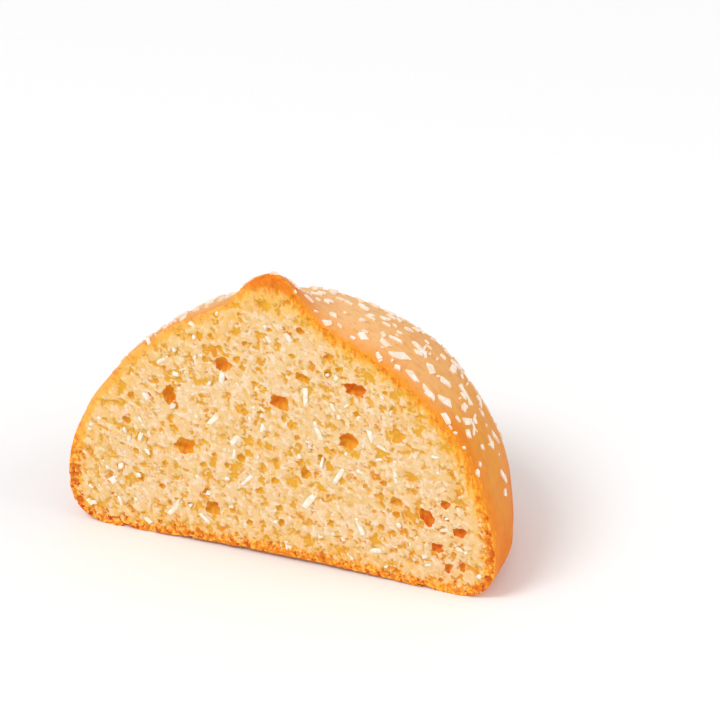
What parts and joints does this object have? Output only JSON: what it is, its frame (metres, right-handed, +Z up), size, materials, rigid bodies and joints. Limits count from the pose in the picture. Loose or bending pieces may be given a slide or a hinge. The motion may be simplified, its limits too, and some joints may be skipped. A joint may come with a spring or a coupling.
{
  "type": "coconut cookie half",
  "caption": "Half of a domed coconut cookie with a peaked tip: browned crust with coconut flakes, and a porous crumb with coconut strips on its cut face.",
  "frame": {"origin": "on the surface that the cookie stands on, under the middle of the half's box; the whole cookie's own axis is 13.64 mm in front of it, in the cut", "axes": "+Z up, +Y from the cut face into the half, +X to the right of someone who looks at the cut face"},
  "size_m": [0.055, 0.028, 0.0385],
  "materials": {
    "crust": "smooth satin browned crust, peach-tan above and more orange towards the foot and on the tip",
    "crumb": "matt creamy open crumb, yellow-orange in its pores and browned at its rim",
    "coconut": "white desiccated coconut, slightly see-through and waxy"
  },
  "bodies": {
    "root": {"coconut_cookie_half": "crust"}
  },
  "joints": []
}
